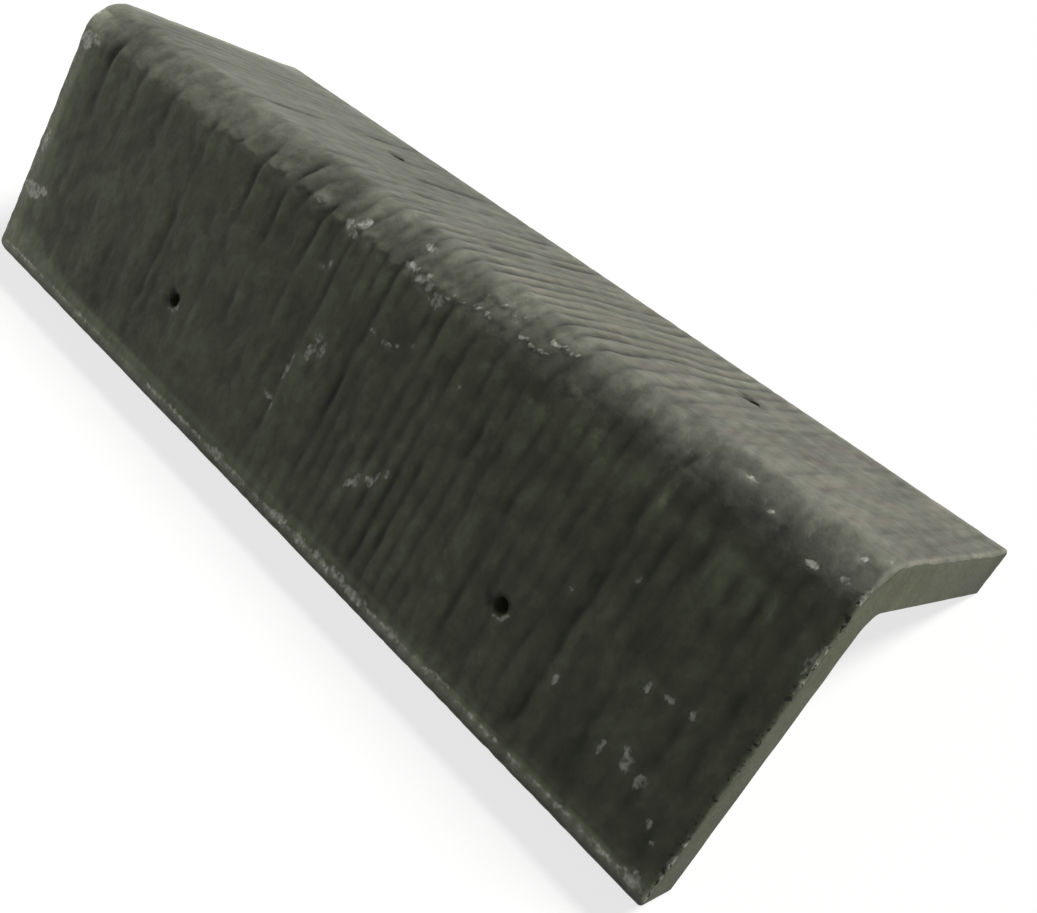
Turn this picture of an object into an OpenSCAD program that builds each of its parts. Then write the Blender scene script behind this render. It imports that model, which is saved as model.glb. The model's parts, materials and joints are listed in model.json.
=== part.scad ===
// Angle ridge tile with a slate face, in millimetres
// X runs along the ridge, +Z is up, and both lower edges stand on Z = 0

/* [Tile] */
// Length along the ridge
tile_length = 450; // [300:5:600]
// Width of each wing, from the sharp line of the ridge to its lower edge
wing_width = 140; // [110:1:220]
// Thickness of the wings
thickness = 20; // [12:1:26]
// Angle between the wings
wing_angle = 90; // [75:1:120]

/* [Edges] */
// Radius of the rounded ridge
ridge_radius = 20; // [5:1:30]
// Radius of the fillet under the ridge
hollow_radius = 8; // [2:1:20]
// Radius of the worn outer arris along each lower edge
arris_radius = 5; // [1:0.5:8]
// How far the underside stops short of the lower edge
edge_draft = 3; // [0:0.5:8]

/* [Nail holes] */
// Diameter of the four nail holes
hole_diameter = 6.5; // [4:0.5:12]
// Distance of the left pair of holes from the left end
left_hole_inset = 136; // [40:1:140]
// Distance of the right pair of holes from the right end
right_hole_inset = 98; // [40:1:140]
// Distance of the holes from the lower edge, measured up the wing
hole_rise = 47; // [25:1:70]

/* [Hidden] */
// How far a drill runs past both faces of a wing
overrun = 5;
// How far a rounding piece is drawn past its corner
past_share = 1.2;
// Facets of a full circle
$fn = 96;

half_angle = wing_angle / 2;
// Directions in the cross-section: down the right wing, and into its thickness
down_wing = [sin(half_angle), -cos(half_angle)];
into_wing = [-cos(half_angle), -sin(half_angle)];
// Corners of the cross-section, from the sharp line of the ridge
lower_edge = wing_width * down_wing;
under_edge = (wing_width - edge_draft) * down_wing + thickness * into_wing;
hollow_apex = [0, -thickness / sin(half_angle)];
// Height of the sharp ridge line over the ground
ridge_height = -under_edge[1];
hole_places = [left_hole_inset - tile_length / 2, tile_length / 2 - right_hole_inset];

function mirrored(p) = [-p[0], p[1]];
function unit(v) = v / norm(v);

// Piece between a sharp corner and the circle that rounds it
module rounding(corner, along_a, along_b, radius) {
    half_corner = acos(along_a * along_b) / 2;
    reach = radius / tan(half_corner);
    centre = corner + unit(along_a + along_b) * radius / sin(half_corner);
    kite = [corner + along_a * reach, corner, corner + along_b * reach];
    difference() {
        polygon(concat([centre], [for (p = kite) centre + (p - centre) * past_share]));
        translate(centre) circle(radius);
    }
}

// Hollow between the wings, with its fillet, drawn past the lower edges
module hollow() {
    legs = [for (p = [under_edge, mirrored(under_edge)]) hollow_apex + (p - hollow_apex) * past_share];
    difference() {
        polygon(concat([hollow_apex], legs));
        rounding(hollow_apex, down_wing, mirrored(down_wing), hollow_radius);
    }
}

// Cross-section of the tile, with the sharp ridge line at its origin
module section() {
    difference() {
        polygon([[0, 0], lower_edge, under_edge, mirrored(under_edge), mirrored(lower_edge)]);
        hollow();
        rounding([0, 0], down_wing, mirrored(down_wing), ridge_radius);
        for (side = [0, 1])
            mirror([side, 0])
                rounding(lower_edge, -down_wing, unit(under_edge - lower_edge), arris_radius);
    }
}

// One drill, square to the right wing and centred in its thickness
module nail_drill() {
    rotate([half_angle - 90, 0, 0])
        translate([0, 0, -thickness / 2])
            cylinder(d = hole_diameter, h = thickness + 2 * overrun, center = true);
}

// The whole tile, one cast piece with four nail holes
module ridge_tile() {
    hole_drop = wing_width - hole_rise;
    color("#4b4d45")
        translate([0, 0, ridge_height])
            difference() {
                rotate([90, 0, 90])
                    linear_extrude(tile_length, center = true)
                        section();
                for (side = [0, 1])
                    for (place = hole_places)
                        mirror([0, side, 0])
                            translate([place, hole_drop * down_wing[0], hole_drop * down_wing[1]])
                                nail_drill();
            }
}

ridge_tile();
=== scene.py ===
"""Slate ridge tile: a cast tile with a riven face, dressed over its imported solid."""

import json
import math
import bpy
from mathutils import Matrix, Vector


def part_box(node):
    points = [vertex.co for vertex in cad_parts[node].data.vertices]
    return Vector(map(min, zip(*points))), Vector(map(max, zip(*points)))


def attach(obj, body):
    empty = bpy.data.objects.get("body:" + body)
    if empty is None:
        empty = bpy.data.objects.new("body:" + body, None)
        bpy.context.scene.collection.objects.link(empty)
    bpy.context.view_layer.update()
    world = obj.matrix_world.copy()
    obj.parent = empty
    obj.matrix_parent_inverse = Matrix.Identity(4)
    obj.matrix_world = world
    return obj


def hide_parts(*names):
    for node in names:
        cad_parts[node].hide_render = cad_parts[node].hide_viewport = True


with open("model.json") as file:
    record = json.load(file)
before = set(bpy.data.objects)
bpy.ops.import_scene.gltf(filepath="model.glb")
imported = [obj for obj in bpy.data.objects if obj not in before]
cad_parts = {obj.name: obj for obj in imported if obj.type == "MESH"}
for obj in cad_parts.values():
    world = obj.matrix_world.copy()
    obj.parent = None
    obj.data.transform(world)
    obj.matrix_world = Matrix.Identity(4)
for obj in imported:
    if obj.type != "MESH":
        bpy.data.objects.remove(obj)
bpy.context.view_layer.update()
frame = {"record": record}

from types import SimpleNamespace

import bpy
import numpy as np
from mathutils import Matrix, Vector

MM = 0.001

# Sizes of the tile in millimetres: the solid gives what it can, the rest follow its section
tile_low, tile_high = (np.array(corner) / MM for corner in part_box("ridge_tile"))
NAIL_HOLES = [mount for mount in frame["record"]["mounts"] if mount["kind"] == "bore"]
LENGTH = tile_high[0] - tile_low[0]
HEIGHT = tile_high[2] - tile_low[2]
THICKNESS = NAIL_HOLES[0]["dims"]["length_mm"]
HALF_ANGLE = math.radians(45)
RIDGE_RADIUS = 20
HOLLOW_RADIUS = 8
ARRIS_RADIUS = 5
EDGE_DRAFT = 3

SINE, COSINE = math.sin(HALF_ANGLE), math.cos(HALF_ANGLE)
RIDGE_TURN = math.pi / 2 - HALF_ANGLE
RIDGE_LINE = HEIGHT + RIDGE_RADIUS * (1 / SINE - 1)
RIDGE_TANGENT = RIDGE_RADIUS / math.tan(HALF_ANGLE)
WING_WIDTH = (RIDGE_LINE - THICKNESS * SINE) / COSINE + EDGE_DRAFT

# The outer face is measured across from the middle of the ridge: its bend, its flat and its worn lower arris
CORNER_ANGLE = math.atan2(THICKNESS, EDGE_DRAFT)
ARRIS_TURN = math.pi - CORNER_ANGLE
ARRIS_TANGENT = ARRIS_RADIUS / math.tan(CORNER_ANGLE / 2)
BEND_END = RIDGE_RADIUS * RIDGE_TURN
FLAT_END = BEND_END + WING_WIDTH - RIDGE_TANGENT - ARRIS_TANGENT
FACE_END = FLAT_END + ARRIS_RADIUS * ARRIS_TURN

# Spacing of the mesh in millimetres, closer over the ridge and towards the ends
ALONG_STEP = 1.1
RIDGE_STEP = 1.0
FRONT_STEP = 1.6
BACK_STEP = 2.4
FROM_ENDS = (0, 0.25, 0.6, 1.0, 1.5, 2.1, 2.9, 3.9)
RIDGE_BAND = 26
ARRIS_POINTS = 8
DEPTH_ROWS = 6
UNDERSIDE_SKIP = 6

# Finishes, by their number on the tile
RIVEN, CUT, MOULDED = range(3)

# The riven face lies a little below the solid's, so that its crests reach the solid's face
FACE_SINK = 0.7
ARRIS_SINK = 0.1
CREST_RISE = 0.4
CREST_GAP = 0.05

# Depths and heights of the relief in millimetres
CHIP_DEPTH = 0.3
ARRIS_DEPTH = 0.3
LIP_DEPTH = 0.8
RIDGE_WEAR = 1.2
SKIN_HEIGHT = 0.7
FLAKE_HEIGHT = 0.7

# Widths of the ribs in millimetres, their mean height, and how far apart two grooves wander on their own
FRONT_RIB = 7.6
BACK_RIB = 8.8
SLANT_RIB = 6.3
RIB_MEAN = 0.64
LANE_WIDTH = 7.3

# Place across of the torn edge of the ridge's skin
TORN_EDGE = -13.6

# The ends: rounded lower corners, a slightly rough face, and how far in the mesh gives way to them
FAR_CORNER_RADIUS = 7
NEAR_CORNER_RADIUS = 1.5
END_INSET = 0.1
END_ROUGHNESS = 0.08
END_STRETCH = 12

# Grooves down the front wing: place along the tile, depth, where the groove ends at the bottom and at the top
GROOVES = (
    (-206, 0.3, -70, -10), (-198, 0.8, -95, -8), (-171, 0.6, -42, 0), (-160, 0.4, -120, -90),
    (-144, 0.6, -60, 0), (-112, 0.7, -112, 6), (-104, 0.5, -30, 0), (-94, 0.5, -26, 0),
    (-75, 0.8, -124, 0), (-56, 1.2, -78, 4), (-44, 0.5, -30, 0), (-31, 0.8, -72, 4),
    (-20, 0.4, -34, 0), (-11, 1.0, -122, 4), (-3, 0.4, -80, -20), (16, 1.0, -112, 2),
    (28, 0.4, -100, -50), (39, 0.4, -110, -20), (47, 0.6, -105, -12), (55, 0.5, -112, -40),
    (62, 0.6, -120, -10), (67, 0.4, -100, -30), (75, 0.6, -115, -10), (85, 0.5, -120, -24),
    (96, 0.9, -124, -8), (103, 0.3, -124, -70), (110, 1.0, -124, -45), (122, 0.6, -124, -20),
    (130, 0.3, -110, -60), (140, 0.5, -120, -8), (153, 1.1, -124, -4), (166, 0.3, -70, -10),
    (178, 0.8, -124, -24), (190, 0.3, -60, -24), (202, 0.8, -120, -26), (213, 0.8, -126, -30),
)
# Grooves down the back wing: place along the tile, depth
BACK_GROOVES = ((-172, 0.4), (-113, 0.8), (-80, 0.6), (-56, 0.9), (-31, 0.7), (-10, 0.6), (16, 0.5))
# Chips: place along, place across, half length along, half length across
CHIPS = (
    (-215, -97, 7, 3), (-207, -94, 3, 2), (-220, -72, 2, 5), (-219, -18, 4, 4), (-212, -15, 3, 2),
    (-3, -57, 2, 2), (1, -61, 2, 3), (-4, -64, 2, 3), (-11, -76, 1, 6), (-14, -91, 3, 1), (-10, -94, 1, 2),
    (43, -96, 1, 2), (46, -92, 2, 3), (52, -88, 2, 2), (54, -86, 1, 3), (58, -81, 1, 2), (20, -40, 3, 1),
    (28, -41, 3, 1), (33, -39, 1, 1), (40, -35, 1, 1), (67, -36, 1, 1), (-19, -33, 2, 1), (-15, -30, 1, 2),
    (-15, -12, 3, 2), (-11, -15, 2, 2), (-9, -8, 2, 3), (21, 1, 2, 2), (22, -11, 4, 2), (28, -12, 3, 2),
    (31, -10, 1, 2), (34, -13, 2, 2), (40, -15, 3, 3), (159, -95, 1, 2), (185, -101, 1, 3), (195, -99, 2, 3),
    (193, -95, 1, 2), (202, -101, 2, 3), (212, -110, 1, 2), (216, -114, 1, 1), (187, -74, 1, 2),
    (195, -72, 2, 1), (204, -71, 1, 2), (174, 3, 2, 1), (187, -3, 1, 1), (207, -9, 2, 1), (216, 3, 1, 1),
    (217, -7, 2, 1), (222, 9, 1, 1), (223, -34, 1, 3), (165, -48, 1, 1), (146, -66, 1, 1), (-60, -128, 4, 1),
    (-25, -128, 6, 2), (-12, -128, 3, 1), (22, -128, 4, 2), (36, -128, 5, 2), (48, -127, 3, 2),
    (60, -127, 5, 2), (72, -128, 7, 2), (96, -128, 4, 2), (121, -127, 5, 1), (150, -128, 4, 1),
    (218, -128, 4, 3),
)
# Loose flakes on the front of the ridge: place along, place across of the lower tip, half width
FLAKES = (
    (41, -13, 4), (48, -11, 3), (56, -9, 2), (63, -9, 3), (70, -8, 2), (78, -8, 2), (85, -8, 5),
    (56, -2, 2), (62, -2, 3), (71, -2, 3), (90, -2, 3), (97, -1, 3), (-36, -13, 4), (-62, -12, 3),
)


def smooth_step(low, high, value):
    """0 at low, 1 at high, smooth between them and level past them."""
    share = np.clip((value - low) / (high - low), 0, 1)
    return share * share * (3 - 2 * share)


def bell(offset, width):
    """1 at no offset, falling smoothly to nothing past about two widths."""
    return np.exp(-((offset / width) ** 2))


def noise(along, across, size, seed):
    """Smooth noise from -1 to 1, on a lattice as far apart along and across as the two sizes."""
    u, v = along / size[0], across / size[1]
    count = 256
    lattice = np.random.default_rng(seed).uniform(-1, 1, (count, count))
    cell_u, cell_v = np.floor(u).astype(int), np.floor(v).astype(int)
    part_u, part_v = smooth_step(0, 1, u - cell_u), smooth_step(0, 1, v - cell_v)
    corners = [lattice[(cell_u + a) % count, (cell_v + b) % count] for b in (0, 1) for a in (0, 1)]
    near = corners[0] * (1 - part_u) + corners[1] * part_u
    far = corners[2] * (1 - part_u) + corners[3] * part_u
    return near * (1 - part_v) + far * part_v


# Section of the tile

def outer_outline(across):
    """Points (y, z) on the smooth outer face, and the face's outward normals there."""
    side, reach = np.sign(across), np.abs(across)
    turn = np.clip(reach, 0, BEND_END) / RIDGE_RADIUS
    arris_turn = np.clip(reach - FLAT_END, 0, None) / ARRIS_RADIUS
    down = np.clip(reach, BEND_END, FLAT_END) - BEND_END
    lean = turn + arris_turn
    normal = np.stack([side * np.sin(lean), np.cos(lean)], -1)
    bend_y = RIDGE_RADIUS * np.sin(turn)
    bend_z = RIDGE_LINE - RIDGE_RADIUS / SINE + RIDGE_RADIUS * np.cos(turn)
    arris_y = ARRIS_RADIUS * (np.sin(lean) - np.sin(turn))
    arris_z = ARRIS_RADIUS * (np.cos(lean) - np.cos(turn))
    y = side * (bend_y + down * SINE + arris_y)
    z = bend_z - down * COSINE + arris_z
    return np.stack([y, z], -1), normal


def inner_outline(across):
    """Points (y, z) on the underside, opposite the same places of the outer face."""
    side, reach = np.sign(across), np.abs(across)
    turn = np.clip(reach / BEND_END, 0, 1) * RIDGE_TURN
    share = np.clip((reach - BEND_END) / (FACE_END - BEND_END), 0, 1)
    down = share * (WING_WIDTH - EDGE_DRAFT - (THICKNESS + HOLLOW_RADIUS) / math.tan(HALF_ANGLE))
    middle = RIDGE_LINE - (THICKNESS + HOLLOW_RADIUS) / SINE
    y = side * (HOLLOW_RADIUS * np.sin(turn) + down * SINE)
    z = middle + HOLLOW_RADIUS * np.cos(turn) - down * COSINE
    return np.stack([y, z], -1)


# Relief of the riven face, by millimetres along the tile and across its outer face, minus on the front wing

def front_wing(across):
    """1 on the front wing, 0 behind the ridge."""
    return smooth_step(2, -14, across)


def back_wing(across):
    """1 on the back wing, 0 in front of the ridge."""
    return smooth_step(6, 24, across)


def calm_back(along, across):
    """1 on the right of the back wing, where the face is calm, and 0 elsewhere."""
    return back_wing(across) * smooth_step(110, 160, along)


def rib_wave(phase):
    """Round ribs between sharp creases, measured from their mean height."""
    return np.abs(np.sin(phase)) - RIB_MEAN


def groove_width(place):
    """Half width of a groove: wide at the far end, narrow in the middle of the tile."""
    if place < -120:
        return 3
    if -20 < place < 100:
        return 1.8
    return 2


def front_grooves(along, across):
    """Grooves down the front wing, each with a raised side, and how deep each point lies in one of them."""
    relief, notches = np.zeros_like(along), np.zeros_like(along)
    lean = 0.25 * np.clip(across + 20, 0, 30)
    shoulder = 0.6 + 0.7 * bell(across + 18, 14)
    for place, depth, bottom, top in GROOVES:
        wander = 1.4 * noise(across, place, (30, LANE_WIDTH), seed=11)
        wander = wander + 0.5 * noise(across, place, (8, LANE_WIDTH), seed=28)
        offset = along - place - wander - lean
        run = smooth_step(bottom - 8, bottom + 14, across) * smooth_step(top + 6, top - 6, across)
        run = run * np.clip(0.75 + 0.8 * noise(across, place, (14, LANE_WIDTH), seed=12), 0.1, 1.3)
        width = groove_width(place)
        raised = 0.4 * bell(offset - 2.2 * width, 1.3 * width)
        raised = raised + 0.35 * bell(offset - 1.5 * width, 0.8 * width)
        relief += depth * run * shoulder * (raised - bell(offset, width))
        notches = np.maximum(notches, depth * bell(offset, 1.6))
    return relief, notches


def front_ribs(along, across, grain):
    """Soft ribs side by side on the front wing, towards the right."""
    strength = smooth_step(-60, 20, along) * (0.75 - 0.35 * smooth_step(70, 130, along)) * front_wing(across)
    patches = np.clip(0.65 + 0.7 * noise(along, across, (34, 46), seed=4), 0.2, 1.2)
    phase = math.pi * grain / FRONT_RIB + 0.7 * noise(along, across, (40, 90), seed=3)
    return strength * patches * rib_wave(phase)


def back_ribs(along, across):
    """Straight and slanting ribs and grooves down the back wing, and the creases between the ribs."""
    onto_right, near_end = smooth_step(-70, 30, along), smooth_step(110, 170, along)
    low = smooth_step(25, 60, across)
    bent = along + 5 * noise(along, across, (46, 60), seed=29) + 1.6 * noise(along, across, (15, 30), seed=30)
    broken = np.clip(0.8 + 0.6 * noise(along, across, (14, 40), seed=31), 0.1, 1.2) * (1 - 0.65 * near_end)
    straight = rib_wave(math.pi * bent / BACK_RIB)
    slanting = rib_wave(math.pi * (bent + 0.3 * across) / SLANT_RIB)
    creases = smooth_step(-0.3, -0.6, straight) * broken * smooth_step(2, 16, across) * (1 - 0.5 * low)
    creases = creases * (0.5 + 0.5 * onto_right)
    strength = (0.2 + 0.9 * onto_right) * (1 - 0.4 * near_end) * (1 - front_wing(across))
    strength = strength * (0.6 + 0.4 * smooth_step(4, 22, across)) * (1 - 0.35 * low)
    relief = strength * (0.95 * broken * straight + 0.4 * (1.2 - broken) * slanting)
    for place, depth in BACK_GROOVES:
        offset = along - place - 2 * noise(across, place, (26, LANE_WIDTH), seed=13)
        run = np.clip(0.5 + 0.9 * noise(across, place, (16, LANE_WIDTH), seed=14), 0, 1.2)
        run = smooth_step(2, 14, across) * run
        relief -= depth * run * bell(offset, np.where(offset < 0, 2.6, 1.6))
    return relief, creases


def loose_flakes(along, across):
    """Thin plates of skin with a round torn tip below, and their pale rims."""
    plates, rims = np.zeros_like(along), np.zeros_like(along)
    waver = 0.2 * noise(along, across, (2, 3), seed=33)
    torn = 0.6 * noise(along, across, (1.7, 5), seed=34)
    for place, tip, half_width in FLAKES:
        offset = (along - place - 0.3 * (across - tip)) / half_width + waver
        rise = across - tip - 1.6 * offset**2 - torn
        sides = smooth_step(1.3, 0.9, np.abs(offset))
        plates = np.maximum(plates, smooth_step(-0.6, 0.6, rise) * sides * smooth_step(9, 2, rise))
        rims = np.maximum(rims, bell(rise - 0.5, 0.9) * sides)
    return plates, rims


def ridge_skin(along, across, notches):
    """The ridge's worn flat and its skin, torn along the front, then the skin's pale rim and its cover."""
    right = smooth_step(100, 135, along)
    wear = RIDGE_WEAR - 0.4 * right - 0.9 * smooth_step(-150, -205, along)
    flat = -wear * bell(across + 3 - 5 * right, 7.5)
    peeled = smooth_step(46, 56, along) * smooth_step(106, 98, along)
    slant = along - 0.4 * across
    lobes = 2.4 * noise(slant, 0, (10, 1), seed=15) + 1.6 * noise(slant, across, (4.6, 30), seed=16)
    lobes = lobes + 0.9 * noise(along, across, (2.6, 4), seed=17)
    lip = TORN_EDGE - 1.6 * smooth_step(-90, -130, along) + lobes + 6 * notches + 12 * peeled + 5 * right
    within = across - lip
    cover = smooth_step(-0.7, 0.7, within)
    skin = SKIN_HEIGHT - 0.4 * peeled - 0.5 * right - 0.4 * smooth_step(-70, -150, along)
    thinning = 0.25 + 0.75 * np.exp(-np.clip(within, 0, None) / 5)
    edge = skin * cover * thinning * smooth_step(26, 6, across)
    edge = edge + 0.6 * right * bell(across + 9, 5)
    specks = np.clip(0.4 + noise(along, across, (4, 4), seed=18), 0, 1)
    plates, flake_rims = loose_flakes(along, across)
    torn_rim = 0.15 * bell(within - 0.8, 1.1) * specks
    rim = np.maximum(torn_rim, 0.8 * flake_rims * np.clip(specks + 0.5, 0, 1))
    return flat + edge + FLAKE_HEIGHT * plates, rim, cover + 2 * plates


def chip_marks(along, across):
    """How far each point lies in a chip, and in the scuffed ground round it, from 0 to 1."""
    marks, scuffs = np.zeros_like(along), np.zeros_like(along)
    for place, over, half_length, half_width in CHIPS:
        distance = np.hypot((along - place) / half_length, (across - over) / half_width)
        marks = np.maximum(marks, smooth_step(1.9, 0.5, distance))
        scuffs = np.maximum(scuffs, smooth_step(3.4, 1, distance))
    return marks, scuffs


def riven_face(along, across):
    """The layers of the riven face, each for every point."""
    face = SimpleNamespace(along=along, across=across)
    face.reach = np.abs(across)
    face.past = face.reach - FLAT_END
    face.to_end = LENGTH / 2 - np.abs(along)
    face.far_half = smooth_step(0, -1, along)
    face.front = np.where(across < 0, 1, 0)
    face.calm = calm_back(along, across)
    face.far_corner = smooth_step(-150, -200, along)

    grain = along + 2.6 * noise(along, across, (70, 55), seed=1)
    grain = grain + 0.8 * noise(along, across, (22, 24), seed=2)
    face.grooves, notches = front_grooves(along, across)
    back_relief, face.creases = back_ribs(along, across)
    face.ribs = front_ribs(along, across, grain) + back_relief
    face.skin, face.rim, face.cover = ridge_skin(along, across, notches)
    face.chips, face.scuffs = chip_marks(along, across)

    back = back_wing(across)
    long_folds = (0.24 - 0.1 * back) * noise(grain, across, (17, 110), seed=5)
    face.folds = long_folds + 0.12 * noise(grain, across, (7, 60), seed=6)
    scales = 0.28 * (smooth_step(-0.3, 0.3, noise(along, across, (11, 16), seed=7)) - 0.5)
    fine_scales = smooth_step(-0.4, 0.4, noise(along, across, (4.6, 6.5), seed=8)) - 0.5
    face.flakes = (scales + (0.34 - 0.08 * back) * fine_scales) * (1 - 0.6 * back + 0.3 * face.calm)
    crossed = noise(along - 0.7 * across, across + 0.3 * along, (9, 26), seed=35)
    face.wrinkles = 0.22 * np.abs(crossed) * face.calm
    bumps = 0.3 * noise(along, across, (6, 8), seed=32)
    face.lumps = bumps * bell(across + 28, 14) * smooth_step(-60, 0, along)
    face.sway = 0.22 * noise(along, across, (70, 60), seed=9)
    face.grit = 0.04 * noise(along, across, (2.6, 4.2), seed=10)
    face.ragged = 0.6 * noise(along, across, (9, 7), seed=21) + 0.5 * noise(along, across, (3.2, 3), seed=22)
    face.arris = bell(face.past + 1.4, 1.3) * np.clip(0.7 + 0.9 * face.ragged, 0, 1)
    face.end_wear = smooth_step(2.6 + 3.4 * face.far_half, 0.3, face.to_end)
    return face


def worn_end(face):
    """How far the face drops over the worn, rounded edge of an end."""
    end, across = np.sign(face.along), face.across
    radius = 1.1 + 0.5 * noise(across, end, (9, 1), seed=23) + 0.4 * noise(across, end, (3.2, 1), seed=24)
    radius = np.clip(radius, 0.3, None)
    share = np.clip(1 - face.to_end / radius, 0, 0.999)
    return radius * (1 - np.sqrt(1 - share**2))


def face_height(face):
    """Height of the riven face over the solid's, calmer towards its lower edges and ends."""
    inside = (0.3 + 0.7 * smooth_step(0, -14, face.past)) * (0.5 + 0.5 * smooth_step(0, 8, face.to_end))
    riven = face.grooves + face.ribs + face.folds + face.flakes + face.lumps + face.wrinkles + face.sway
    height = inside * riven + face.skin + face.grit - CHIP_DEPTH * face.chips - ARRIS_DEPTH * face.arris
    sink = ARRIS_SINK + (FACE_SINK - ARRIS_SINK) * smooth_step(2, -12, face.past)
    cap = CREST_RISE * smooth_step(0, -8, face.past) * smooth_step(2, 6, face.reach) - CREST_GAP
    return np.minimum(height - sink, cap) - worn_end(face)


def hole_lips(along, across):
    """Depth of the broken lip round each nail hole on the outer face, and the pale crescent below it."""
    lips, crescents = np.zeros_like(along), np.zeros_like(along)
    ragged = 1.4 * noise(along, across, (2.4, 2.4), seed=26)
    for hole in NAIL_HOLES:
        place, y, _ = (value / MM for value in hole["pos_m"])
        radius = hole["dims"]["r_mm"]
        over = math.copysign(BEND_END + abs(y) / SINE - RIDGE_TANGENT, y)
        beside, under = along - place, np.abs(across) - abs(over)
        distance = np.hypot(0.8 * beside, across - over) + ragged
        lips = np.maximum(lips, smooth_step(radius + 2.6, radius - 0.4, distance))
        rim = np.hypot(beside - 1.1, under - 1.3) - radius
        below = (0.6 * beside + 0.8 * under) / radius
        pale = bell(rim, 1.2) * smooth_step(0.4, 1.2, below) * (across * over > 0)
        crescents = np.maximum(crescents, pale if over < 0 else 0.3 * pale)
    return lips, crescents


# Marks on the face that its finish reads; the dust and painted shade mark is 1 on plain ground and less where
# it is dark

def worn_pale(face):
    """How far the face is chipped or rubbed pale, from 0 to 1."""
    chips = (0.85 + 0.3 * face.far_corner) * face.chips
    arris = (0.3 + 0.6 * face.front) * face.arris
    end_specks = (0.3 + 0.35 * face.front) * face.end_wear * np.clip(0.4 + 1.2 * face.ragged, 0, 1)
    return np.clip(np.max([chips, arris, face.rim, end_specks], axis=0), 0, 1)


def painted_ridge_shade(along, across):
    """Painted shade on the ridge: the share of dust and shade left there, darker on both sides of its turn
    and on its crown towards the near end.
    """
    right_front = 0.4 * smooth_step(20, 130, along) * bell(across + 6, 8)
    front_turn = 0.3 * bell(across + 5.5, 5.5) * smooth_step(-150, -80, along)
    crown = 0.08 * bell(across - 2, 6) * smooth_step(80, 120, along)
    back_turn = (0.05 + 0.06 * smooth_step(60, 0, along)) * bell(across - 9, 6.5)
    back_turn = back_turn * smooth_step(-190, -140, along)
    return (1 - right_front) * (1 - front_turn - crown - back_turn)


def painted_front_shade(along, across):
    """Painted shade on the front wing: the share of dust and shade left there, darker in three places."""
    left = 0.12 * smooth_step(-60, -140, along) * smooth_step(-175, -135, along)
    middle = 0.06 * bell(along + 50, 35)
    right = 0.16 * smooth_step(30, 110, along) * smooth_step(-20, -45, across)
    return 1 - (left + middle + right) * smooth_step(-10, -20, across)


def edge_dust(face):
    """Dust rubbed onto the lower edge, the ends and the chipped far corner."""
    left, right = smooth_step(-40, -110, face.along), smooth_step(70, 120, face.along)
    scuffed = (0.6 + 0.5 * left - 0.3 * right) * smooth_step(-9 - 12 * face.far_corner, -6, face.past)
    band = smooth_step(-3.2 - 1.2 * right, -1.4 - right, face.past + 0.9 * face.ragged)
    band = band * (0.55 + 0.75 * right + 0.5 * face.ragged)
    dip = bell(face.past + 3.8, 0.9) * (1 - left) * (1 - right)
    lower = (0.25 + 0.75 * face.front) * (scuffed + band - 0.4 * dip)
    rubbed = 1.6 * smooth_step(12, 4, face.to_end + face.ragged) + 0.5 * smooth_step(30, 10, face.to_end)
    far_end = rubbed * face.far_half * (0.3 + 0.7 * face.front)
    return lower + 0.4 * face.end_wear + far_end + 0.7 * face.chips * face.far_corner


def blotches(along, across):
    """Broad uneven tones on the near end's ridge and back, and on the far half of the back wing."""
    near = smooth_step(90, 150, along) * smooth_step(-12, -2, across)
    far = smooth_step(-20, -70, along) * smooth_step(4, 16, across)
    near = near * noise(along, across, (24, 18), seed=36)
    far = far * noise(along, across, (15, 45), seed=37)
    return 1 + 0.18 * near + 0.15 * far


def near_end_wear_and_highlight(face):
    """A pale line along the back wing's edge at the near end, worn and partly a painted highlight where the
    edge catches the light, and a paler band on the ridge there.
    """
    crest = smooth_step(1.8, 0.6, face.to_end) * (1 - face.far_half) * smooth_step(4, 20, face.across)
    ridge = smooth_step(196, 222, face.along) * bell(face.across + 5, 7)
    return 0.7 * crest * np.clip(0.7 + face.ragged, 0, 1) + 0.35 * ridge


def face_dust_and_shade(face):
    """Dust and painted shade on the face: painted shade in hollows and creases, painted highlights on crests,
    and pale wear on edges and scuffed ground.
    """
    along, across, past = face.along, face.across, face.past
    hollows = face.grooves + face.folds + (1 - 0.3 * face.calm) * face.flakes + face.lumps + face.wrinkles
    skin = (0.25 - 0.08 * smooth_step(-90, -150, along)) * face.cover * smooth_step(20, 8, across)
    # Painted shade in the hollows and a painted highlight on the crests of the ribs, over the dust
    dust_and_shade = 1 + 0.75 * hollows + face.ribs + skin
    dust_and_shade = dust_and_shade * painted_ridge_shade(along, across)
    # Paler scuffed ground, and painted shade in the creases between the back wing's ribs
    dust_and_shade = dust_and_shade + 0.5 * face.scuffs * np.clip(0.5 + face.ragged, 0, 1) - 0.3 * face.creases
    dust_and_shade = dust_and_shade * painted_front_shade(along, across)
    # Painted light: a little paler high on the front wing at the far end
    dust_and_shade = dust_and_shade + 0.15 * smooth_step(-140, -180, along) * bell(across + 18, 12)
    dust_and_shade = dust_and_shade + edge_dust(face)
    # Painted shade: darker where the lower arris turns under, and a little darker just before it
    dust_and_shade = dust_and_shade * (1 - 0.14 * smooth_step(-1.4, -0.4, past)) * (1 - 0.8 * smooth_step(0.4, 2.6, past))
    dust_and_shade = dust_and_shade * blotches(along, across) + near_end_wear_and_highlight(face)
    return np.clip(dust_and_shade, 0.15, 2.8)


def lit_side_and_wear_share(along, across):
    """How far the face is greyed: on the ridge and less on the back wing as a painted lit-side tint, and on
    the worn lower arrises and at the far end.
    """
    ridge = smooth_step(-22, -6, across) * (1 - 0.35 * smooth_step(10, 34, across))
    arris = smooth_step(-3, -1, np.abs(across) - FLAT_END)
    far_end = 0.8 * smooth_step(12, 4, LENGTH / 2 + along)
    return np.max([ridge, arris, far_end], axis=0)


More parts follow.
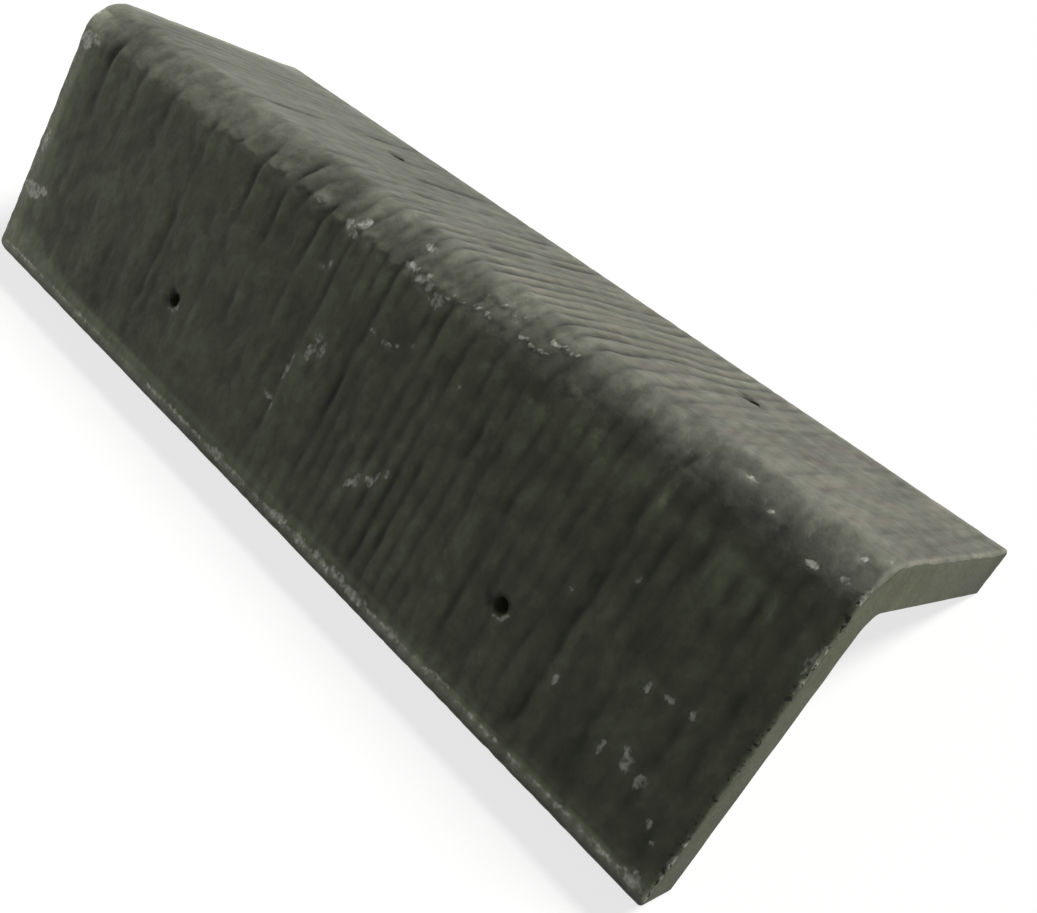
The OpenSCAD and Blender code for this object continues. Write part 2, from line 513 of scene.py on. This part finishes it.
def pitted_share(along, across):
    """How far the face is pitted: along the front wing's edge at the near end."""
    return smooth_step(3.4, 0.8, LENGTH / 2 - along) * smooth_step(0, -12, across)


# Mesh of the tile

def sample_places():
    """Places along the tile and across its outer face where the mesh has points."""
    ends = LENGTH / 2 - np.array(FROM_ENDS[:-1])
    middle = LENGTH / 2 - FROM_ENDS[-1]
    count = UNDERSIDE_SKIP * round(LENGTH / ALONG_STEP / UNDERSIDE_SKIP) + 1
    inner = np.linspace(-middle, middle, count - 2 * len(ends))
    along = np.concatenate([-ends, inner, ends[::-1]])
    ridge = np.linspace(-RIDGE_BAND, RIDGE_BAND, round(2 * RIDGE_BAND / RIDGE_STEP) + 1)
    front = np.linspace(-FLAT_END, -RIDGE_BAND, round((FLAT_END - RIDGE_BAND) / FRONT_STEP) + 1)[:-1]
    back = np.linspace(RIDGE_BAND, FLAT_END, round((FLAT_END - RIDGE_BAND) / BACK_STEP) + 1)[1:]
    arris = np.linspace(FLAT_END, FACE_END, ARRIS_POINTS)[1:]
    return along, np.concatenate([-arris[::-1], front, ridge, back, arris])


def tile_block():
    """A block of point numbers, -1 inside the tile, then each point's place along, across and in depth."""
    places_along, places_across = sample_places()
    last_along, last_across = len(places_along) - 1, len(places_across) - 1
    i, j, k = np.meshgrid(range(last_along + 1), range(last_across + 1), range(DEPTH_ROWS + 1), indexing="ij")
    on_ends = (i == 0) | (i == last_along)
    on_edges = (j == 0) | (j == last_across)
    on_underside = (k == DEPTH_ROWS) & ((i % UNDERSIDE_SKIP == 0) | on_ends)
    made = (k == 0) | on_underside | ((k < DEPTH_ROWS) & (on_ends | on_edges))
    number = np.full(made.shape, -1)
    number[made] = np.arange(made.sum())
    return number, places_along[i[made]], places_across[j[made]], k[made] / DEPTH_ROWS


def tile_points(along, across, share, height):
    """The points in metres, where share is the depth from 0 on the outer face to 1 on the underside."""
    outer, normal = outer_outline(across)
    outer = outer + normal * height[:, None]
    profile = outer + (inner_outline(across) - outer) * share[:, None]
    past = np.abs(across) - FLAT_END
    arris_drop = ARRIS_RADIUS * np.sin(np.clip(past / ARRIS_RADIUS, 0, math.pi / 2))
    outer_left = ARRIS_RADIUS - np.minimum(past, 0) - arris_drop
    to_bottom = outer_left * (1 - share) + (FACE_END - np.abs(across)) * share
    radius = np.where(along < 0, FAR_CORNER_RADIUS, NEAR_CORNER_RADIUS)
    corner = np.clip(1 - to_bottom / radius, 0, 1)
    inset = radius * (1 - np.sqrt(1 - corner**2))
    inset = inset + END_INSET + END_ROUGHNESS * noise(across, share * 2 + 5, (9, 1), seed=27)
    pull = smooth_step(LENGTH / 2 - END_STRETCH, LENGTH / 2, np.abs(along))
    return np.column_stack([along - np.sign(along) * inset * pull, profile]) * MM


def tile_faces(number):
    """The point numbers of every face, and its finish."""
    last_along, last_across = number.shape[0] - 1, number.shape[1] - 1
    faces, finishes = [], []

    def patch(grid, finish, flip):
        """Adds the quads of a two-way grid of point numbers."""
        quads = np.stack([grid[:-1, :-1], grid[1:, :-1], grid[1:, 1:], grid[:-1, 1:]], -1).reshape(-1, 4)
        faces.extend((quads[:, ::-1] if flip else quads).tolist())
        finishes.extend([finish] * len(quads))

    patch(number[:, :, 0], RIVEN, False)
    patch(number[::UNDERSIDE_SKIP, :, DEPTH_ROWS], MOULDED, True)
    patch(number[0], CUT, False)
    patch(number[last_along], CUT, True)
    for edge, flip in ((0, True), (last_across, False)):
        patch(number[:, edge, :DEPTH_ROWS], MOULDED, flip)
        for first in range(0, last_along, UNDERSIDE_SKIP):
            upper = number[first:first + UNDERSIDE_SKIP + 1, edge, DEPTH_ROWS - 1].tolist()
            lower = number[first:first + UNDERSIDE_SKIP + 1:UNDERSIDE_SKIP, edge, DEPTH_ROWS].tolist()
            ring = upper + lower[::-1]
            faces.append(ring[::-1] if flip else ring)
            finishes.append(MOULDED)
    return faces, finishes


def tile_mesh():
    """The tile before it is drilled, with the marks on its points that the riven finish reads."""
    number, along, across, share = tile_block()
    face = riven_face(along, across)
    lips, crescents = hole_lips(along, across)
    points = tile_points(along, across, share, face_height(face) - LIP_DEPTH * lips)
    faces, finishes = tile_faces(number)
    mesh = bpy.data.meshes.new("ridge_tile_slate")
    mesh.from_pydata(points.tolist(), [], faces)
    mesh.polygons.foreach_set("material_index", finishes)

    worn = np.maximum(worn_pale(face), 0.75 * crescents)
    dust_and_shade = face_dust_and_shade(face) * (1 - 0.75 * lips) + 1.1 * crescents
    marks = {
        "worn": worn * (share == 0),
        "dust_and_shade": np.where(share == 0, dust_and_shade, 1),
        "lit_side_and_wear": lit_side_and_wear_share(along, across),
        "pitted": pitted_share(along, across),
        "calm": face.calm,
        "lined": back_wing(across) * smooth_step(-60, 40, along),
    }
    for name, values in marks.items():
        mesh.attributes.new(name, "FLOAT", "POINT").data.foreach_set("value", values)
    mesh.validate()
    return mesh


def nail_drills():
    """One mesh of the four drills, each along its own nail hole."""
    sides, overrun = 40, 6 * MM
    points, faces = [], []
    for hole in NAIL_HOLES:
        axis = Vector(hole["axis"]).normalized()
        turn = axis.to_track_quat("Z", "X")
        radius, length = hole["dims"]["r_mm"] * MM, hole["dims"]["length_mm"] * MM
        first = len(points)
        for depth in (overrun, -length - overrun):
            for step in range(sides):
                angle = 2 * math.pi * step / sides
                ring = turn @ Vector((radius * math.cos(angle), radius * math.sin(angle), depth))
                points.append(Vector(hole["pos_m"]) + ring)
        top, bottom = range(first, first + sides), range(first + sides, first + 2 * sides)
        faces += [tuple(top), tuple(reversed(bottom))]
        faces += [(top[n - 1], bottom[n - 1], bottom[n], top[n]) for n in range(sides)]
    mesh = bpy.data.meshes.new("nail_drills")
    mesh.from_pydata(points, [], faces)
    return mesh


def ridge_tile(materials):
    """The tile with its nail holes drilled."""
    tile = bpy.data.objects.new("ridge_tile_slate", tile_mesh())
    drills = bpy.data.objects.new("nail_drills", nail_drills())
    for piece in (tile, drills):
        bpy.context.collection.objects.link(piece)
        for material in materials:
            piece.data.materials.append(material)
    for face in drills.data.polygons:
        face.material_index = CUT
    cut = tile.modifiers.new("nail_holes", "BOOLEAN")
    cut.operation, cut.object, cut.solver = "DIFFERENCE", drills, "MANIFOLD"
    whole = tile.evaluated_get(bpy.context.evaluated_depsgraph_get())
    drilled = bpy.data.meshes.new_from_object(whole)
    tile.modifiers.clear()
    tile.data = drilled
    tile.data.name = "ridge_tile_slate"
    bpy.data.objects.remove(drills)
    tile.data.polygons.foreach_set("use_smooth", [True] * len(tile.data.polygons))
    tile.data.set_sharp_from_angle(angle=math.radians(50))
    return tile


# Materials

def linear(hex_colour):
    """An sRGB hex colour as linear red, green, blue and alpha."""
    parts = [int(hex_colour[n:n + 2], 16) / 255 for n in (1, 3, 5)]
    return [p / 12.92 if p <= 0.04045 else ((p + 0.055) / 1.055) ** 2.4 for p in parts] + [1]


def add(tree, kind, inputs, **settings):
    """Adds one shader node with its settings, and sets or links its inputs."""
    made = tree.nodes.new("ShaderNode" + kind)
    for name, value in settings.items():
        setattr(made, name, value)
    for name, value in inputs.items():
        if isinstance(value, bpy.types.NodeSocket):
            tree.links.new(value, made.inputs[name])
        else:
            made.inputs[name].default_value = value
    return made


# Sockets of a Mix node that mixes colours, by number because its names repeat for each kind of data
MIX_FACTOR, MIX_A, MIX_B, MIX_OUT = 0, 6, 7, 2


def new_material(name):
    """An empty node material and its tree."""
    material = bpy.data.materials.new(name)
    material.use_nodes = True
    material.node_tree.nodes.clear()
    return material, material.node_tree


def pattern(tree, ridge_mm, slope_mm, detail=3):
    """Noise whose grains measure ridge_mm along the ridge and slope_mm down the wings."""
    place = add(tree, "TexCoord", {}).outputs["Object"]
    scale = (1 / (ridge_mm * MM), 1 / (slope_mm * MM), 1 / (slope_mm * MM))
    sized = add(tree, "Mapping", {"Vector": place, "Scale": scale})
    return add(tree, "TexNoise", {"Vector": sized.outputs[0], "Scale": 1, "Detail": detail}).outputs["Fac"]


def riven_slate_face():
    """Crushed slate in resin, pressed in a riven mould: matt dark olive, crests paler with dust and a painted
    highlight, pale where chipped.
    """
    material, tree = new_material("riven_cast_slate")
    worn, dust_and_shade, lit_side_and_wear, pitted, calm, lined = (
        add(tree, "Attribute", {}, attribute_name=name).outputs["Fac"]
        for name in ("worn", "dust_and_shade", "lit_side_and_wear", "pitted", "calm", "lined"))

    # Olive ground in broad clouds, greener and darker on the front wing as a painted shade tint, greyer on
    # the lit ridge and back and on the worn edges and far end, and warmer on the lined back wing
    clouds = pattern(tree, 50, 70)
    tints = add(tree, "Math", {0: clouds, 1: 0.5, 2: lit_side_and_wear}, operation="MULTIPLY_ADD")
    share = add(tree, "MapRange", {"Value": tints.outputs[0], "From Min": 0.2, "From Max": 1.3})
    patches = add(tree, "MapRange", {"Value": pattern(tree, 12, 14, 1), "From Min": 0.35, "From Max": 0.65})
    warm = add(tree, "Mix", {
        MIX_FACTOR: lined, MIX_A: linear("#5b5d53"), MIX_B: linear("#625d53")}, data_type="RGBA")
    ground = add(tree, "Mix", {
        MIX_FACTOR: patches.outputs[0], MIX_A: warm.outputs[MIX_OUT], MIX_B: linear("#5c5e52"),
    }, data_type="RGBA")
    body = add(tree, "Mix", {
        MIX_FACTOR: share.outputs[0], MIX_A: linear("#545848"), MIX_B: ground.outputs[MIX_OUT],
    }, data_type="RGBA")

    # Streaks down the slope, mottle and flaky scales that break up every tone, weaker where the face is calm
    streaks = pattern(tree, 3.2, 24)
    mottle = pattern(tree, 5, 7)
    scales = add(tree, "MapRange", {"Value": pattern(tree, 8, 11, 3), "From Min": 0.46, "From Max": 0.54})
    chunks = add(tree, "MapRange", {"Value": pattern(tree, 2.8, 3.6, 2), "From Min": 0.44, "From Max": 0.56})
    flaky = add(tree, "Math", {0: chunks.outputs[0], 1: 0.6, 2: scales.outputs[0]}, operation="MULTIPLY_ADD")
    mixed = add(tree, "Math", {0: streaks, 1: 0.5, 2: mottle}, operation="MULTIPLY_ADD")
    patchy = add(tree, "Math", {0: flaky.outputs[0], 1: 0.3, 2: mixed.outputs[0]}, operation="MULTIPLY_ADD")
    darkest = add(tree, "Math", {0: calm, 1: 0.18, 2: 0.7}, operation="MULTIPLY_ADD")
    palest = add(tree, "Math", {0: calm, 1: -0.18, 2: 1.3}, operation="MULTIPLY_ADD")
    shade = add(tree, "MapRange", {
        "Value": patchy.outputs[0], "From Min": 0.5, "From Max": 1.5,
        "To Min": darkest.outputs[0], "To Max": palest.outputs[0]})

    # Fine lines down the back wing, and dust and painted shade over everything: painted shade in hollows and
    # painted highlights on crests
    lines = add(tree, "MapRange", {
        "Value": pattern(tree, 3.6, 70, 2), "From Min": 0.35, "From Max": 0.65,
        "To Min": -0.14, "To Max": 0.14})
    ruled = add(tree, "Math", {0: lines.outputs[0], 1: lined, 2: 1}, operation="MULTIPLY_ADD")
    dusted_and_shaded = add(tree, "Math", {0: ruled.outputs[0], 1: dust_and_shade}, operation="MULTIPLY")
    level = add(tree, "Math", {0: shade.outputs[0], 1: dusted_and_shaded.outputs[0]}, operation="MULTIPLY")
    toned = add(tree, "VectorMath", {0: body.outputs[MIX_OUT], "Scale": level.outputs[0]}, operation="SCALE")

    # Chips and rubbed edges break into pale fresh flecks
    flecks = add(tree, "MapRange", {"Value": pattern(tree, 2, 2.6, 2), "From Min": 0.3, "From Max": 0.7})
    broken = add(tree, "Math", {0: worn, 1: 1.7, 2: flecks.outputs[0]}, operation="MULTIPLY_ADD")
    chipped = add(tree, "MapRange", {"Value": broken.outputs[0], "From Min": 1.2, "From Max": 2.0})
    pale = add(tree, "Mix", {
        MIX_FACTOR: flecks.outputs[0], MIX_A: linear("#74756b"), MIX_B: linear("#b6b7ac")}, data_type="RGBA")
    fresh = add(tree, "MapRange", {"Value": dust_and_shade, "From Min": 1, "From Max": 2.4, "To Min": 1, "To Max": 1.5})
    bright = add(tree, "VectorMath", {0: pale.outputs[MIX_OUT], "Scale": fresh.outputs[0]}, operation="SCALE")
    whole = add(tree, "Mix", {
        MIX_FACTOR: chipped.outputs[0], MIX_A: toned.outputs[0], MIX_B: bright.outputs[0]}, data_type="RGBA")

    # Pits along the cut edge of the near end, painted dark as the shade inside them
    holes = add(tree, "MapRange", {"Value": pattern(tree, 1.6, 1.8, 1), "From Min": 0.57, "From Max": 0.64})
    pits = add(tree, "Math", {0: holes.outputs[0], 1: pitted}, operation="MULTIPLY")
    colour = add(tree, "Mix", {
        MIX_FACTOR: pits.outputs[0], MIX_A: whole.outputs[MIX_OUT], MIX_B: linear("#1d1e18"),
    }, data_type="RGBA")

    # A dull, uneven sheen over flakes and grit; real grit is finer, and drawn coarser so that it shows
    roughness = add(tree, "MapRange", {
        "Value": mottle, "From Min": 0.3, "From Max": 0.7, "To Min": 0.5, "To Max": 0.64})
    grains = add(tree, "MapRange", {"Value": pattern(tree, 0.9, 0.9, 1), "From Min": 0.3, "From Max": 0.7})
    grit = add(tree, "Math", {0: grains.outputs[0], 1: 0.25, 2: flaky.outputs[0]}, operation="MULTIPLY_ADD")
    relief = add(tree, "Math", {0: chipped.outputs[0], 1: 0.8, 2: grit.outputs[0]}, operation="MULTIPLY_ADD")
    bump = add(tree, "Bump", {"Height": relief.outputs[0], "Strength": 0.4, "Distance": 0.25 * MM})
    shader = add(tree, "BsdfPrincipled", {
        "Base Color": colour.outputs[MIX_OUT], "Roughness": roughness.outputs[0], "Normal": bump.outputs[0],
        "IOR": 1.5, "Specular IOR Level": 0.15})
    add(tree, "OutputMaterial", {"Surface": shader.outputs[0]})
    return material


def plain_slate(name, base, dark, roughness, grit_mm):
    """Cast slate without the riven face: a duller olive grey with grit, with painted shade making it darker
    towards the ground.
    """
    material, tree = new_material(name)
    grit = pattern(tree, grit_mm, grit_mm)
    clouds = pattern(tree, 22, 22)
    mixed = add(tree, "Math", {0: grit, 1: clouds}, operation="ADD")
    share = add(tree, "MapRange", {"Value": mixed.outputs[0], "From Min": 0.8, "From Max": 1.2})
    colour = add(tree, "Mix", {
        MIX_FACTOR: share.outputs[0], MIX_A: linear(dark), MIX_B: linear(base)}, data_type="RGBA")
    place = add(tree, "SeparateXYZ", {0: add(tree, "TexCoord", {}).outputs["Object"]})
    # Painted shade: darker towards the ground
    painted_low_shade = add(tree, "MapRange", {
        "Value": place.outputs["Z"], "From Max": 70 * MM, "To Min": 0.62, "To Max": 1.03})
    toned = add(tree, "VectorMath", {
        0: colour.outputs[MIX_OUT], "Scale": painted_low_shade.outputs[0]}, operation="SCALE")
    bump = add(tree, "Bump", {"Height": grit, "Strength": 0.5, "Distance": 0.3 * MM})
    shader = add(tree, "BsdfPrincipled", {
        "Base Color": toned.outputs[0], "Normal": bump.outputs[0], "Roughness": roughness,
        "IOR": 1.5, "Specular IOR Level": 0.3})
    add(tree, "OutputMaterial", {"Surface": shader.outputs[0]})
    return material


def cut_slate():
    """Cast slate as the saw and the drill leave it, on the ends and in the holes: olive, with close grit."""
    return plain_slate("cut_cast_slate", "#5f624f", "#4c4e3b", roughness=0.8, grit_mm=1.4)


def moulded_slate():
    """Cast slate as the plain half of the mould leaves it, underneath and on the lower edges: grey, matt."""
    return plain_slate("moulded_cast_slate", "#54554a", "#46473d", roughness=0.85, grit_mm=2.0)


def seen_rays(tree):
    """1 for what the eye sees, straight, mirrored or through glass, and 0 for what only lights the tile."""
    rays = add(tree, "LightPath", {}).outputs
    mirrored = add(tree, "Math", {0: rays["Is Camera Ray"], 1: rays["Is Glossy Ray"]}, operation="MAXIMUM")
    seen = add(tree, "Math", {0: mirrored.outputs[0], 1: rays["Is Transmission Ray"]}, operation="MAXIMUM")
    return seen.outputs[0]


def white_paper():
    """Matt white paper under the tile: it glows a little to the eye, and stays white round a soft shadow."""
    material, tree = new_material("matt_white_paper")
    paper = add(tree, "BsdfPrincipled", {
        "Base Color": linear("#f7f7f5"), "Roughness": 0.9, "Specular IOR Level": 0.1})
    glow = add(tree, "Emission", {"Color": linear("#ffffff"), "Strength": 1.14})
    share = add(tree, "Math", {0: seen_rays(tree), 1: 0.66}, operation="MULTIPLY")
    lit = add(tree, "MixShader", {0: share.outputs[0], 1: paper.outputs[0], 2: glow.outputs[0]})
    add(tree, "OutputMaterial", {"Surface": lit.outputs[0]})
    return material


tile = ridge_tile([riven_slate_face(), cut_slate(), moulded_slate()])
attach(tile, "root")
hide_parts("ridge_tile")


# Floor, light and camera

def floor():
    """The white paper, wide enough to fill the view."""
    half = 12
    corners = [(-half, -half, 0), (half, -half, 0), (half, half, 0), (-half, half, 0)]
    mesh = bpy.data.meshes.new("floor")
    mesh.from_pydata(corners, [], [(0, 1, 2, 3)])
    mesh.materials.append(white_paper())
    made = bpy.data.objects.new("floor", mesh)
    bpy.context.collection.objects.link(made)


def light():
    """A soft key from behind the tile and to its right, a weak window at its far left, and an even fill."""
    key = bpy.data.lights.new("soft_key", "SUN")
    key.energy = 3.4
    key.angle = math.radians(16)
    window = bpy.data.lights.new("weak_window", "AREA")
    window.energy = 0.6
    window.size = 0.5
    for lamp, place in ((key, (0.32, 0.67, 0.68)), (window, (-0.6, -0.42, 0.55))):
        made = bpy.data.objects.new(lamp.name, lamp)
        bpy.context.collection.objects.link(made)
        made.location = place
        made.rotation_euler = Vector(place).to_track_quat("Z", "Y").to_euler()

    world = bpy.data.worlds.new("even_fill")
    bpy.context.scene.world = world
    world.use_nodes = True
    tree = world.node_tree
    tree.nodes.clear()
    strength = add(tree, "MapRange", {"Value": seen_rays(tree), "To Min": 0.06, "To Max": 1})
    sky = add(tree, "Background", {"Color": linear("#ffffff"), "Strength": strength.outputs[0]})
    add(tree, "OutputWorld", {"Surface": sky.outputs[0]})


def camera():
    """The photograph's view: from the right and in front, looking down, a little tilted."""
    target = Vector((46.2, -43.2, 50)) * MM
    azimuth, elevation, roll = (math.radians(angle) for angle in (-30.44, 50.93, -11.52))
    distance = 482.8 * MM
    made = bpy.data.objects.new("camera", bpy.data.cameras.new("camera"))
    bpy.context.collection.objects.link(made)
    level = math.cos(elevation)
    away = Vector((level * math.cos(azimuth), level * math.sin(azimuth), math.sin(elevation)))
    turn = away.to_track_quat("Z", "Y").to_matrix().to_4x4() @ Matrix.Rotation(roll, 4, "Z")
    made.matrix_world = Matrix.Translation(target + away * distance) @ turn
    made.data.sensor_width = 36
    made.data.lens = 43.19
    made.data.shift_x, made.data.shift_y = 0.1132, -0.0226
    made.data.clip_start = 0.01
    bpy.context.scene.camera = made


floor()
light()
camera()
bpy.context.scene.view_settings.view_transform = "Standard"
